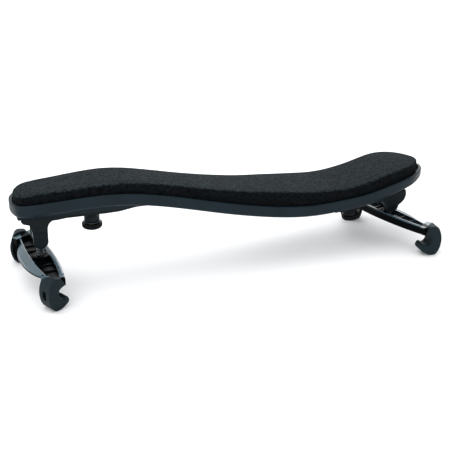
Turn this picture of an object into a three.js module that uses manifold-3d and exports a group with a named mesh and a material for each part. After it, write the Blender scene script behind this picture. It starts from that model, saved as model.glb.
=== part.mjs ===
// Violin shoulder rest: an S-curved moulded shell with a foam pad, and at each
// end a sliding clevis bracket that carries a folding, height-adjustable fork
// with two rubber-booted claws.
// Millimetres. +Z up, +X along the shell (chest end positive), claws on z = 0.
import * as THREE from 'three';
import { mergeVertices } from 'three/addons/utils/BufferGeometryUtils.js';
import Module from 'manifold-3d';

const wasm = await Module();
wasm.setup();

// ---------------------------------------------------------------- dimensions
const GAP = 0.3;                 // running and assembly gap between pieces
const SHIFT = [-8.0977, 0.3931, 0];   // design frame to bottom-centre frame

// shell
const RIM_H = 6.5;               // outer wall height
const RIM_T = 1.8;               // wall thickness
const FLOOR_LO = 1.6, FLOOR_HI = 3.4;
const FOAM_LO = 3.7;             // foam underside above the rim's bottom edge
// height of the rim's bottom edge along the shell
const ZB_X = [-125, -115, -95, -75, -60, -45, -25, -5, 15, 35, 55, 70, 85, 100, 115, 130, 140];
const ZB_Z = [42.6, 44.0, 45.2, 45.8, 45.6, 43.8, 39.7, 34.9, 30.5, 27.2, 25.9, 26.4, 27.7, 30.0, 32.7, 34.8, 36.2];
// height of the foam's top above the rim's bottom edge
const HF_X = [-116, -100, -85, -65, -45, -25, -5, 15, 35, 55, 75, 95, 110, 124];
const HF_Z = [10.2, 11.3, 11.2, 11.5, 12.0, 12.4, 13.0, 13.9, 14.6, 13.7, 12.3, 12.9, 12.4, 11.0];
// plan outlines, counter-clockwise seen from above
const SHELL_PLAN = [
  [-114.4, -1.5], [-113.6, -9.0], [-111.2, -14.2], [-106.0, -16.7], [-97, -17.1], [-80, -16.7],
  [-58, -16.3], [-37, -16.3], [-15, -16.8], [3, -17.4], [26, -17.6], [50, -17.9], [66, -17.2],
  [80, -16.5], [92, -15.4], [102, -13.2], [111, -10.8], [119, -7.4], [125, -2.6], [129.2, 2.6],
  [130.6, 8.0], [128.6, 14.6], [124.2, 21.4], [117.8, 26.8], [110.5, 29.4], [102, 29.2], [91, 27.4],
  [78, 25.6], [65, 23.6], [52, 22.2], [38, 20.6], [25, 18.8], [9, 16.8], [-10, 15.0], [-23, 14.5],
  [-36, 15.4], [-50, 16.8], [-66, 17.6], [-79, 16.6], [-91, 14.0], [-101, 12.4], [-108.5, 10.4], [-113, 5.2]];
const FOAM_PLAN = [
  [-112.2, -3.0], [-111.2, -9.2], [-108.4, -12.9], [-103, -14.2], [-92, -14.3], [-78, -14.0],
  [-58, -13.6], [-37, -13.6], [-15, -14.1], [3, -14.7], [26, -14.9], [50, -15.2], [66, -14.5],
  [80, -13.8], [91, -12.7], [101, -10.4], [109, -8.6], [117, -5.2], [122.8, -0.8], [126.5, 3.8],
  [127.5, 8.2], [125.8, 13.4], [121.8, 19.5], [116, 24.2], [109.8, 26.4], [103.8, 26.5], [98, 25.4], [89, 23.8],
  [78, 22.4], [65, 20.5], [52, 19.4], [38, 17.7], [25, 16.0], [9, 13.8], [-10, 12.1], [-23, 11.4],
  [-36, 12.4], [-50, 13.8], [-66, 14.5], [-79, 13.4], [-91, 10.9], [-101, 9.3], [-107, 8.0], [-111, 3.4]];

// brackets: distances from the hinge pin, a along the bar inward, b up square to it
const SIDES = {
  left: {
    pin: [-99.8, 26.4], slope: 0, h: 11.6, aKnob: 29, bossLen: 4.9, headT: 2.0, slotDeep: 1.6,
    barIn: 54.8, padA: [-11.5, 60], slide: 8, swivel: 6.8, postTop: 36.2 },
  right: {
    pin: [106.8, 21.6], slope: 11.5, h: 5.2, aKnob: 24.0, bossLen: 3.1, headT: 1.8, slotDeep: 1.4,
    barIn: 33, padA: [9.5, 36], slide: 5, swivel: 18, postTop: 30.6 },
};
const BAR_T = 2.3, BAR_HALF = 6.0, EAR_IN = 5.0, EAR_OUT = 7.2, EAR_R = 4.0;
const PAD_HALF = 8.4, SLOT_HALF = 2.45, HEAD_SIDE = 8.4, RECESS_HALF = 4.6;
const BOLT_R = 2.0, BOLT_HOLE_R = 2.4;
const BOSS_R = 4.25, KNOB_R = 5.55, KNOB_H = 3.3, WASHER_T = 0.6;
const PIN_R = 1.4, PIN_HOLE_R = 1.75, KNUCKLE_HALF = 4.7, KNUCKLE_R = 3.45;
const POST_R = 2.25, POST_HOLE_R = 2.65, POST_BOTTOM = 13.2;

// fork, with u outward from the post and z from the table
const FORK_LO = 12.6, FORK_HI = 17.0, FORK_FLOOR = 13.9, RIM_Z = 15.1, FORK_LEN = 35;
const HUB_R = 4.6, HUB_LO = 11.8, HUB_HI = 16.4;
const WALL_IN = 2.5, WALL_OUT = 1.0;            // thickness of the inner and outer walls
const CLAW = { u: 3.6, y: 32.9, fan: 20, width: 9.6, bevel: 0.6 };   // centre of each claw, toe-in in degrees
const COLLAR = [[8.7, 29.6], [-2.5, 34.7]];     // slanted joint between the arm and the boot, [u, |y|]
const COLLAR_Z = 12.3;
const BOOT = [
  [4.4, 17.5], [0.8, 17.5], [-0.1, 16.9], [-1.2, 15.2], [-2.1, 13.5], [-1.8, 12.9], [0.1, 12.2],
  [1.3, 11.4], [1.85, 10.6], [1.85, 8.2], [1.5, 7.2], [0.5, 6.1], [-0.9, 5.75], [-1.7, 6.2],
  [-2.4, 6.6], [-3.2, 6.2], [-3.9, 5.2], [-4.2, 3.9], [-3.6, 2.8], [-1.9, 1.6], [0.5, 0.5], [1.9, 0],
  [4.1, 0], [5.6, 1.0], [6.9, 2.8], [7.8, 5.4], [8.2, 8.8], [7.9, 11.8], [7.0, 14.6], [5.8, 16.7]];
const CORE = [
  [4.6, 15.9], [1.5, 15.9], [0.9, 15.2], [0.8, 14.3], [2.4, 13.4], [3.4, 12.2], [3.75, 10.5],
  [3.65, 8.2], [3.0, 6.0], [1.6, 4.5], [-1.5, 4.25], [-2.0, 3.8], [-1.3, 3.2], [0.9, 2.3], [3.1, 1.8],
  [4.7, 2.2], [5.7, 4.0], [6.3, 6.8], [6.4, 9.3], [6.1, 12], [5.4, 14.4]];


// ------------------------------------------------------------------- helpers
// natural cubic spline through (xs, ys)
function spline(xs, ys) {
  const n = xs.length, h = [], m = new Array(n).fill(0), c = [], d = [];
  for (let i = 0; i < n - 1; i++) h.push(xs[i + 1] - xs[i]);
  c[0] = 0; d[0] = 0;
  for (let i = 1; i < n - 1; i++) {
    const b = 2 * (h[i - 1] + h[i]) - h[i - 1] * c[i - 1];
    c[i] = h[i] / b;
    d[i] = (6 * ((ys[i + 1] - ys[i]) / h[i] - (ys[i] - ys[i - 1]) / h[i - 1]) - h[i - 1] * d[i - 1]) / b;
  }
  for (let i = n - 2; i > 0; i--) m[i] = d[i] - c[i] * m[i + 1];
  return (x) => {
    let i = 0;
    while (i < n - 2 && x > xs[i + 1]) i++;
    const t = x - xs[i], u = xs[i + 1] - x;
    return (m[i] * u ** 3 + m[i + 1] * t ** 3) / (6 * h[i])
      + (ys[i] / h[i] - m[i] * h[i] / 6) * u + (ys[i + 1] / h[i] - m[i + 1] * h[i] / 6) * t;
  };
}
const zb = spline(ZB_X, ZB_Z), hf = spline(HF_X, HF_Z);

// geometry to solid and back
function solid(geometry) {
  let g = geometry.index ? geometry.toNonIndexed() : geometry.clone();
  for (const k of Object.keys(g.attributes)) if (k !== 'position') g.deleteAttribute(k);
  g = mergeVertices(g, 1e-4);
  const p = g.attributes.position.array, ix = g.index.array, tri = [];
  for (let i = 0; i < ix.length; i += 3) {
    const [a, b, c] = [ix[i], ix[i + 1], ix[i + 2]];
    if (a !== b && b !== c && c !== a) tri.push(a, b, c);
  }
  return new wasm.Manifold(new wasm.Mesh({
    numProp: 3, vertProperties: new Float32Array(p), triVerts: new Uint32Array(tri) }));
}
function surface(man) {
  const m = man.getMesh(), g = new THREE.BufferGeometry();
  const p = new Float32Array(m.vertProperties.length / m.numProp * 3);
  for (let i = 0; i < p.length / 3; i++) for (let k = 0; k < 3; k++) p[3 * i + k] = m.vertProperties[m.numProp * i + k];
  g.setAttribute('position', new THREE.BufferAttribute(p, 3));
  g.setIndex([...m.triVerts]);
  return g;
}
const join = (...s) => s.reduce((a, b) => a.add(b));
const cut = (a, ...s) => s.reduce((x, y) => x.subtract(y), a);

// prism of an x,z outline between two y planes; plate of an x,y outline between two z planes
const shape2 = (pts) => new THREE.Shape(pts.map((p) => new THREE.Vector2(p[0], p[1])));
const prism = (pts, y0, y1) => solid(new THREE.ExtrudeGeometry(shape2(pts), { depth: y1 - y0, bevelEnabled: false })
  .rotateX(Math.PI / 2).translate(0, y1, 0));
const plate = (pts, z0, z1) => solid(new THREE.ExtrudeGeometry(shape2(pts), { depth: z1 - z0, bevelEnabled: false })
  .translate(0, 0, z0));
const block = (x0, x1, y0, y1, z0, z1) => solid(new THREE.BoxGeometry(x1 - x0, y1 - y0, z1 - z0)
  .translate((x0 + x1) / 2, (y0 + y1) / 2, (z0 + z1) / 2));
const rodZ = (x, y, z0, z1, r, seg = 24, r2 = r) => solid(new THREE.CylinderGeometry(r2, r, z1 - z0, seg)
  .rotateX(Math.PI / 2).translate(x, y, (z0 + z1) / 2));
const rodY = (x, z, y0, y1, r, seg = 24) => solid(new THREE.CylinderGeometry(r, r, y1 - y0, seg)
  .translate(x, (y0 + y1) / 2, z));
const rect = (x0, x1, y0, y1) => [[x0, y0], [x1, y0], [x1, y1], [x0, y1]];
const arc = (cx, cy, r, a0, a1, n) => Array.from({ length: n + 1 }, (_, i) => {
  const t = (a0 + (a1 - a0) * i / n) * Math.PI / 180;
  return [cx + r * Math.cos(t), cy + r * Math.sin(t)];
});
// mirrored copy in x
const mirrorX = (man) => man.mirror([1, 0, 0]);

// closed smooth plan curve, and its inward offset
function planCurve(pts, n) {
  const c = new THREE.CatmullRomCurve3(pts.map((p) => new THREE.Vector3(p[0], p[1], 0)), true, 'centripetal');
  return c.getSpacedPoints(n).slice(0, n).map((p) => [p.x, p.y]);
}
function inset(pts, d) {
  const n = pts.length;
  return pts.map((p, i) => {
    const a = pts[(i + n - 1) % n], b = pts[(i + 1) % n];
    const t = [b[0] - a[0], b[1] - a[1]], l = Math.hypot(t[0], t[1]);
    return [p[0] - t[1] / l * d, p[1] + t[0] / l * d];
  });
}
// loft through rings of equal point count; open stacks are capped, closed stacks wrap round
function loft(rings, wrap = false) {
  const k = rings[0].length, pos = rings.flat(2), idx = [], m = rings.length;
  for (let r = 0; r < (wrap ? m : m - 1); r++) {
    const r2 = (r + 1) % m;
    for (let i = 0; i < k; i++) {
      const j = (i + 1) % k, a = r * k + i, b = r * k + j, c = r2 * k + j, d = r2 * k + i;
      idx.push(a, b, c, a, c, d);
    }
  }
  if (!wrap) {
    // caps zip the two long sides together, so that they follow the lengthwise curve
    const cap = (r, flip) => {
      let i = 0, j = k;
      const x = (q) => rings[r][q % k][0];
      while (j - i > 1) {
        const t = j - i === 2 || x(i + 1) < x(j - 1) ? [i, i + 1, j] : [i, j - 1, j];
        if (t[1] === i + 1) i += 1; else j -= 1;
        const [a, b, c] = t.map((q) => r * k + q % k);
        if (a !== b && b !== c && c !== a) flip ? idx.push(a, c, b) : idx.push(a, b, c);
      }
    };
    cap(0, true); cap(m - 1, false);
  }
  const g = new THREE.BufferGeometry();
  g.setAttribute('position', new THREE.BufferAttribute(new Float32Array(pos), 3));
  g.setIndex(idx);
  return solid(g);
}
const lift = (pts, f) => pts.map((p) => [p[0], p[1], f(p)]);

// ----------------------------------------------------------------- materials
const mat = (color, roughness, metalness = 0) => new THREE.MeshStandardMaterial({ color, roughness, metalness });
const root = new THREE.Group();
function put(group, name, man, color, roughness, metalness) {
  const mesh = new THREE.Mesh(surface(man), mat(color, roughness, metalness));
  mesh.name = name;
  group.add(mesh);
  return mesh;
}
const body = new THREE.Group();
body.position.set(...SHIFT);
root.add(body);

// bracket frame to design frame for one side, in x and z
function fromBracket(S, side, a, b) {
  const s = S.slope * Math.PI / 180, o = side === 'left' ? -1 : 1;   // outward sign
  return [S.pin[0] - o * a * Math.cos(s) - o * b * Math.sin(s), S.pin[1] - a * Math.sin(s) + b * Math.cos(s)];
}

// --------------------------------------------------------------------- shell
{
  const out = planCurve(SHELL_PLAN, 110);
  // rim: a closed sweep of the wall section, listed so that its faces point out
  const section = [[0, 1.3], [0.45, 0.35], [1.0, 0], [1.5, 0.1], [RIM_T, 0.5], [RIM_T, RIM_H - 0.4],
    [RIM_T - 0.4, RIM_H], [0.5, RIM_H], [0.1, RIM_H - 0.5]];
  // the wall is a little lower towards the wide end
  const drop = (x) => { const t = Math.min(1, Math.max(0, (x - 95) / 33)); return t * t * (3 - 2 * t); };
  const loops = section.map(([o, z]) => inset(out, o).map((p, i) => [p[0], p[1], zb(out[i][0]) + z - (z > 3 ? drop(out[i][0]) : 0)]));
  const rim = loft(loops.slice().reverse(), true);
  const f = inset(out, 1.0);
  const floor = loft([lift(f, (p) => zb(p[0]) + FLOOR_LO), lift(f, (p) => zb(p[0]) + FLOOR_HI)]);
  let shell = join(rim, floor);
  // stiffening ribs under the floor: two along the shell and five across
  const along = (y) => {
    const xs = Array.from({ length: 27 }, (_, i) => -38 + i * 95 / 26);
    return prism([...xs.map((x) => [x, zb(x) + 0.2]), ...xs.reverse().map((x) => [x, zb(x) + 2.4])], y - 0.6, y + 0.6);
  };
  shell = join(shell, along(-9), along(9));
  for (const x of [-30, -12, 6, 24, 42]) shell = join(shell, block(x - 0.6, x + 0.6, -15.2, 13.4, zb(x) + 0.4, zb(x) + 2.3));
  for (const side of ['left', 'right']) {
    const S = SIDES[side], B = (a, b) => fromBracket(S, side, a, b);
    const lo = S.h + BAR_T + GAP, n = 14;
    // track pad: flat underside parallel to the bar, top sunk into the floor
    const low = [], top = [];
    for (let i = 0; i <= n; i++) {
      const a = S.padA[0] + (S.padA[1] - S.padA[0]) * i / n, p = B(a, lo);
      low.push(p); top.push([p[0], zb(p[0]) + FLOOR_LO + 0.5]);
    }
    low.push(B(S.padA[1] + 3, lo + 3.2));      // sloped inner end
    top.push([B(S.padA[1] + 3, lo)[0], zb(B(S.padA[1] + 3, lo)[0]) + FLOOR_LO + 0.5]);
    let ring = [...low, ...top.reverse()];
    if (side === 'right') ring = ring.reverse();
    shell = join(shell, prism(ring, -PAD_HALF, PAD_HALF));
    // T-slot: a groove for the bar's rib and a deeper recess for the bolt's square head
    const quad = (a0, a1, b0, b1) => {
      const q = [B(a0, b0), B(a1, b0), B(a1, b1), B(a0, b1)];
      return side === 'right' ? q.reverse() : q;
    };
    const g0 = Math.max(S.aKnob - 21, S.padA[0] + 1.5), g1 = Math.min(S.barIn + S.slide - 3, S.padA[1] - 1.2);
    shell = cut(shell,
      prism(quad(g0, g1, lo - 1, lo + S.slotDeep), -SLOT_HALF, SLOT_HALF),
      prism(quad(S.aKnob - S.slide - 4.6, S.aKnob + S.slide + 4.6, lo + S.slotDeep, lo + 16), -RECESS_HALF, RECESS_HALF),
      prism(quad(S.aKnob - S.slide - 2.5, S.aKnob + S.slide + 2.5, lo - 1, lo + S.slotDeep + 1), -SLOT_HALF, SLOT_HALF));
  }
  put(body, 'shell', shell, 0x1d2126, 0.42);
}

// ------------------------------------------------------------------ foam pad
{
  const out = planCurve(FOAM_PLAN, 76);
  const ring = (o, fz) => inset(out, o).map((p, i) => [p[0], p[1], zb(out[i][0]) + fz(out[i][0])]);
  const foam = loft([ring(0.5, () => FOAM_LO), ring(0, () => FOAM_LO + 0.8), ring(0, (x) => hf(x) - 2.6),
    ring(0.5, (x) => hf(x) - 1.0), ring(1.7, (x) => hf(x) - 0.2), ring(3.4, (x) => hf(x))]);
  put(body, 'foam_pad', foam, 0x121214, 0.95);
}

// ------------------------------------------------------------ one side's leg
function buildSide(side) {
  const S = SIDES[side], hand = side === 'left' ? (m) => m : mirrorX;
  const tilt = S.slope * Math.PI / 180;
  // everything below is drawn as a left-hand piece: x = a (inward), z = b, origin at the hinge pin
  const frame = new THREE.Group();
  frame.position.set(S.pin[0], 0, S.pin[1]);
  frame.rotation.y = side === 'left' ? tilt : -tilt;
  body.add(frame);
  const H = S.h, k = S.aKnob, bossLo = H - S.bossLen;

  // slide bracket: bar, two ears, knob boss, locating ribs
  const tail = S.barIn;
  let bar = plate([[5, -EAR_OUT], [9, -EAR_OUT], [14, -BAR_HALF], [k + 6, -BAR_HALF], [tail - 2, -4.6], [tail, -3.2],
    [tail, 3.2], [tail - 2, 4.6], [k + 6, BAR_HALF], [14, BAR_HALF], [9, EAR_OUT], [5, EAR_OUT]], H, H + BAR_T);
  // the tail thins towards its inner end
  if (tail - k > 12) bar = cut(bar, prism([[k + 7, H - 1], [tail + 1, H - 1], [tail + 1, H + 1.1], [tail - 3, H + 1.0]], -8, 8));
  const fil = Math.min(5.2, H + 1);
  const brow = side === 'left' ? [[-9.7, H + 1.0], [-8.6, H - 0.3], [-5.2, H - 1.4], [-4.0, 5.2]]
    : [[-9.7, H + 0.4], [-9.2, H - 1.6], [-7.9, H - 3.5], [-5.7, H - 5.0]];
  const ear = [[-9.7, H + BAR_T], ...brow,
    ...arc(0, 0, EAR_R, 180 + 8, 360 - 4, 12), ...arc(EAR_R + fil, H + 0.6 - fil, fil, 180, 92, 7), [EAR_R + fil + 1, H + BAR_T]];
  for (const s of [-1, 1]) {
    const y0 = s < 0 ? -EAR_OUT : EAR_IN;
    bar = join(bar, prism(ear, y0, y0 + EAR_OUT - EAR_IN));
    // thinner lower ear, leaving a step on the outer face
    bar = cut(bar, block(-6, 6, s < 0 ? -EAR_OUT - 1 : EAR_OUT - 0.35, s < 0 ? -EAR_OUT + 0.35 : EAR_OUT + 1, -5, H - 6.2 > -2 ? H - 6.2 : -2));
    bar = cut(bar, s < 0 ? rodY(0, 0, -6.65, -4.5, PIN_HOLE_R, 20) : rodY(0, 0, 4.5, 6.65, PIN_HOLE_R, 20));
  }
  bar = join(bar, rodZ(k, 0, bossLo, H + 0.5, BOSS_R, 28), rodZ(k, 0, H - 1.6, H + 0.2, BOSS_R + 0.1, 28, 6.0));
  const ribTop = H + BAR_T + S.slotDeep - 0.4;
  bar = join(bar, block(k - 5.8 - (S.slide > 6 ? 6 : 1.5), k - 4.8, -2.0, 2.0, H + 1, ribTop), block(k + 4.8, Math.min(k + 14, tail - 4), -2.0, 2.0, H + 1.5, ribTop));
  bar = cut(bar, rodZ(k, 0, bossLo - 1, H + 6, BOLT_HOLE_R, 24));
  put(frame, `${side}_slide_bracket`, hand(bar), 0x24282d, 0.45);

  // clamp bolt: square head in the T-slot, shank through bar and boss into the knob
  const headLo = H + BAR_T + GAP + S.slotDeep + GAP, half = HEAD_SIDE / 2;
  const washerHi = bossLo - GAP, knobHi = washerHi - WASHER_T - GAP, knobLo = knobHi - KNOB_H;
  put(frame, `${side}_clamp_bolt`, hand(join(block(k - half, k + half, -half, half, headLo, headLo + S.headT),
    rodZ(k, 0, knobLo + 1.1, headLo + 0.5, BOLT_R, 24))), 0xb9bcc0, 0.35, 1);
  put(frame, `${side}_knob_washer`, hand(cut(rodZ(k, 0, washerHi - WASHER_T, washerHi, 4.4, 28),
    rodZ(k, 0, washerHi - 2, washerHi + 1, BOLT_HOLE_R, 24))), 0xc4c6c9, 0.35, 1);
  // knob: finely ribbed cap with a pocket for the threaded insert
  const flutes = Array.from({ length: 72 }, (_, i) => {
    const t = i * Math.PI / 36, r = i % 2 ? KNOB_R : KNOB_R - 0.22;
    return [k + r * Math.cos(t), r * Math.sin(t)];
  });
  let knob = join(plate(flutes, knobLo + 0.9, knobHi), rodZ(k, 0, knobLo, knobLo + 1.0, KNOB_R - 1.0, 36, KNOB_R - 0.25));
  knob = cut(knob, rodZ(k, 0, knobLo + 0.8, knobHi + 1, BOLT_HOLE_R, 24), rodZ(k, 0, knobHi - 2.1, knobHi + 1, 3.7, 24));
  put(frame, `${side}_clamp_knob`, hand(knob), 0x1b1e22, 0.5);
  put(frame, `${side}_knob_insert`, hand(cut(rodZ(k, 0, knobHi - 1.8, knobHi - 0.1, 3.4, 6),
    rodZ(k, 0, knobHi - 3, knobHi + 1, BOLT_HOLE_R, 24))), 0xb08d3f, 0.35, 1);

  // leg group hangs upright from the pin
  const leg = new THREE.Group();
  leg.rotation.y = -frame.rotation.y;
  frame.add(leg);
  // hinge knuckle: cross barrel with a threaded bore for the post, and two stub pins
  const knTop = 3.2;
  let knuckle = join(rodY(0, 0, -KNUCKLE_HALF, KNUCKLE_HALF, KNUCKLE_R, 28),
    block(-KNUCKLE_R + 0.05, KNUCKLE_R - 0.05, -KNUCKLE_HALF, KNUCKLE_HALF, 0, knTop));
  knuckle = cut(knuckle, rodZ(0, 0, -6, 8, POST_HOLE_R, 24), rodY(0, 0, -6, -1, PIN_HOLE_R, 20), rodY(0, 0, 1, 6, PIN_HOLE_R, 20));
  put(leg, `${side}_hinge_knuckle`, hand(knuckle), 0xa9acb0, 0.35, 1);
  put(leg, `${side}_hinge_pin_front`, hand(rodY(0, 0, -6.35, -2.95, PIN_R, 20)), 0xc0c2c5, 0.3, 1);
  put(leg, `${side}_hinge_pin_rear`, hand(rodY(0, 0, 2.95, 6.35, PIN_R, 20)), 0xc0c2c5, 0.3, 1);

  // fork group, z measured from the table
  const table = new THREE.Group();
  table.position.z = -S.pin[1];
  leg.add(table);
  put(table, `${side}_fork_post`, join(rodZ(0, 0, POST_BOTTOM, S.postTop - 0.5, POST_R, 24),
    rodZ(0, 0, S.postTop - 0.5, S.postTop, POST_R, 24, POST_R - 0.4)), 0xc8cacd, 0.25, 1);
  const fork = new THREE.Group();
  fork.rotation.z = S.swivel * Math.PI / 180;
  table.add(fork);

  // fork body drawn with x = outward (right-hand piece); mirrored for the left
  const turn = side === 'left' ? mirrorX : (m) => m;
  const inner = (y) => -6.6 + 2.6 * (y / 31) ** 2, rimIn = (y) => 5.3 - 2.2 * (y / 31) ** 2;
  const rimOut = (y) => rimIn(y) + WALL_OUT;
  const stations = (e, n) => Array.from({ length: n + 1 }, (_, i) => -e + 2 * e * i / n);
  const strip = (e, n, u0, u1, z0, z1) => {
    const ys = stations(e, n);
    return plate([...ys.map((y) => [u1(y), y]), ...ys.slice().reverse().map((y) => [u0(y), y])], z0, z1);
  };
  // floor plate, tall inner wall, low outer wall
  let f = strip(FORK_LEN, 18, inner, rimOut, FORK_LO, FORK_FLOOR);
  f = join(f, strip(FORK_LEN, 18, inner, (y) => inner(y) + WALL_IN, FORK_LO, FORK_HI));
  f = join(f, strip(FORK_LEN, 18, rimIn, rimOut, FORK_LO, RIM_Z));
  // sloping crescent outside the low wall
  const yc = stations(22.5, 22).map((y, i, a) => (i === 0 || i === a.length - 1 ? y * 0.998 : y));
  const reach = (y) => Math.max(5.3 + 5.8 * (1 - Math.min(1, Math.abs(y) / 22.5) ** 2.2) ** 0.75, rimOut(y) + 0.15);
  f = join(f, loft(yc.map((y) => [[rimIn(y) + 0.3, y, FORK_LO], [rimIn(y) + 0.3, y, RIM_Z], [rimOut(y), y, RIM_Z],
    [reach(y), y, 13.3], [reach(y), y, FORK_LO]])));
  // hub and cross ribs
  f = join(f, rodZ(0, 0, HUB_LO, HUB_HI, HUB_R, 28));
  for (const y of [-18, -10.5, 10.5, 18]) f = join(f, block(inner(y) + 1, rimIn(y) + 0.5, y - 0.6, y + 0.6, FORK_LO + 0.5, 14.7));
  f = cut(f, rodZ(0, 0, POST_BOTTOM - GAP, HUB_HI + 1, POST_HOLE_R - 0.05, 24));
  // solid shoulders at both ends, then the slanted joint with the boots
  for (const s of [-1, 1]) {
    const q = (pts) => (s < 0 ? pts.map(([u, y]) => [u, -y]).reverse() : pts);
    f = join(f, plate(q([[-4.0, 30.4], [5.0, 26.6], [6.6, 26.0], [7.7, 28.2], [7.9, 33], [-3.4, 36.5]]), FORK_LO, 16.2));
    f = cut(f, plate(q([[COLLAR[1][0] - 6, COLLAR[1][1] + 2.73 - 0.35], [COLLAR[0][0] + 4, COLLAR[0][1] - 1.82 - 0.35], [20, 50], [-20, 50]]), FORK_LO - 2, 20));
  }
  // hooked cores that carry the boots, and the boots themselves
  const fan = CLAW.fan * Math.PI / 180, hw = CLAW.width / 2;
  const swing = (g, s) => {          // sets a claw at its centre, toed in
    const m = new THREE.Matrix4().makeTranslation(CLAW.u, s * CLAW.y, 0)
      .multiply(new THREE.Matrix4().makeRotationZ(s * fan)).multiply(new THREE.Matrix4().makeTranslation(-3.3, 0, 0));
    return solid(g.clone().applyMatrix4(m));
  };
  const yPrism = (pts, y0, y1) => new THREE.ExtrudeGeometry(shape2(pts), { depth: y1 - y0, bevelEnabled: false })
    .rotateX(Math.PI / 2).translate(0, y1, 0);
  const pocket = inset(CORE, -GAP);
  for (const [s, tag] of [[-1, 'front'], [1, 'rear']]) {
    const span = (a, b) => (s < 0 ? [-b, -a] : [a, b]);
    const q = (pts) => (s < 0 ? pts.map(([u, y]) => [u, -y]).reverse() : pts);
    f = join(f, swing(yPrism(CORE, ...span(-hw + 0.6, hw - 1.5)), s));
    const bw = CLAW.bevel;
    let boot = swing(new THREE.ExtrudeGeometry(shape2(BOOT), { depth: CLAW.width - 2 * bw, bevelEnabled: true,
      bevelThickness: bw, bevelSize: bw, bevelOffset: -bw, bevelSegments: 2 }).rotateX(Math.PI / 2).translate(0, hw - bw, 0), s);
    boot = cut(boot, swing(yPrism(pocket, ...span(-hw - 3, hw - 1.2)), s));
    // above the mouth the boot stops at the slanted joint
    boot = cut(boot, plate(q([[COLLAR[0][0] + 4, COLLAR[0][1] - 1.82], [COLLAR[1][0] - 6, COLLAR[1][1] + 2.73], [-9, 15], [14, 15]]), COLLAR_Z, 20));
    // slot in the back of the boot that shows the core
    const oval = [...arc(0, 9.9, 1.15, 0, 180, 8), ...arc(0, 7.3, 1.15, 180, 360, 8)];
    boot = cut(boot, swing(new THREE.ExtrudeGeometry(shape2(oval), { depth: 4.2, bevelEnabled: false })
      .rotateX(Math.PI / 2).rotateZ(Math.PI / 2).translate(6.6, 0, 0), s));
    put(fork, `${side}_claw_boot_${tag}`, turn(boot), 0x2b2f34, 0.7);
  }
  put(fork, `${side}_fork`, turn(f), 0x1f2328, 0.35);
}
buildSide('left');
buildSide('right');

export default root;
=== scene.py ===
# Violin shoulder rest: the visible pieces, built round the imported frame.
import math

import bmesh
import bpy
import numpy as np
from mathutils import Matrix, Vector, noise


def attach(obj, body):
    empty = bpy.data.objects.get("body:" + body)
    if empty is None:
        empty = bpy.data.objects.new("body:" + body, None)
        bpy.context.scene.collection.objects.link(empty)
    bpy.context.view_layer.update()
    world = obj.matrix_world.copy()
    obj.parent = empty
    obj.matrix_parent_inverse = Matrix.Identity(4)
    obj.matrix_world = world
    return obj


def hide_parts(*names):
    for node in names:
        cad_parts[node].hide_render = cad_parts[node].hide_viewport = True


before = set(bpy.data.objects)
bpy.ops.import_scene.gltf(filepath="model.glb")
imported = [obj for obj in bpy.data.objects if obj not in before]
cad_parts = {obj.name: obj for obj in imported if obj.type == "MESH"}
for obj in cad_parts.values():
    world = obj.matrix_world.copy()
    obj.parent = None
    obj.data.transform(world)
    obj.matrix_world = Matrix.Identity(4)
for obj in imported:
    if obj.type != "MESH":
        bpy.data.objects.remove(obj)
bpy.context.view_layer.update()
SHIFT = np.array([-8.0977, 0.3931, 0.0])  # design frame to row frame, mm

# ------------------------------------------------------------------ dimensions
ZB_X = [-125, -115, -95, -75, -60, -45, -25, -5, 15, 35, 55, 70, 85, 100, 115, 130, 140]
ZB_Z = [42.6, 44.0, 45.2, 45.8, 45.6, 43.8, 39.7, 34.9, 30.5, 27.2, 25.9, 26.4, 27.7, 30.0, 32.7, 34.8, 36.2]
HF_X = [-116, -100, -85, -65, -45, -25, -5, 15, 35, 55, 75, 95, 110, 124]
HF_Z = [10.2, 11.3, 11.2, 11.5, 12.0, 12.4, 13.0, 13.9, 14.6, 13.7, 12.3, 12.9, 12.4, 11.0]
SHELL_PLAN = [
    (-114.4, -1.5), (-113.6, -9.0), (-111.2, -14.2), (-106.0, -16.7), (-97, -17.1), (-80, -16.7),
    (-58, -16.3), (-37, -16.3), (-15, -16.8), (3, -17.4), (26, -17.6), (50, -17.9), (66, -17.2),
    (80, -16.5), (92, -15.4), (102, -13.2), (111, -10.8), (119, -7.4), (125, -2.6), (129.2, 2.6),
    (130.6, 8.0), (128.6, 14.6), (124.2, 21.4), (117.8, 26.8), (110.5, 29.4), (102, 29.2), (91, 27.4),
    (78, 25.6), (65, 23.6), (52, 22.2), (38, 20.6), (25, 18.8), (9, 16.8), (-10, 15.0), (-23, 14.5),
    (-36, 15.4), (-50, 16.8), (-66, 17.6), (-79, 16.6), (-91, 14.0), (-101, 12.4), (-108.5, 10.4), (-113, 5.2)]
FOAM_PLAN = [
    (-112.4, -3.0), (-111.5, -9.4), (-109.0, -13.1), (-103, -14.3), (-92, -14.3), (-78, -14.0),
    (-58, -13.6), (-37, -13.6), (-15, -14.1), (3, -14.7), (26, -14.9), (50, -15.2), (66, -14.5),
    (80, -13.8), (91, -12.7), (101, -10.4), (109, -8.6), (117, -5.2), (122.8, -0.8), (126.5, 3.8),
    (127.5, 8.2), (125.8, 13.4), (121.8, 19.5), (116, 24.2), (109.8, 26.4), (103.8, 26.5), (98, 25.4), (89, 23.8),
    (78, 22.4), (65, 20.5), (52, 19.4), (38, 17.7), (25, 16.0), (9, 13.8), (-10, 12.1), (-23, 11.4),
    (-36, 12.4), (-50, 13.8), (-66, 14.5), (-79, 13.4), (-91, 10.9), (-101, 9.3), (-107, 8.0), (-111, 3.4)]
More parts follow.
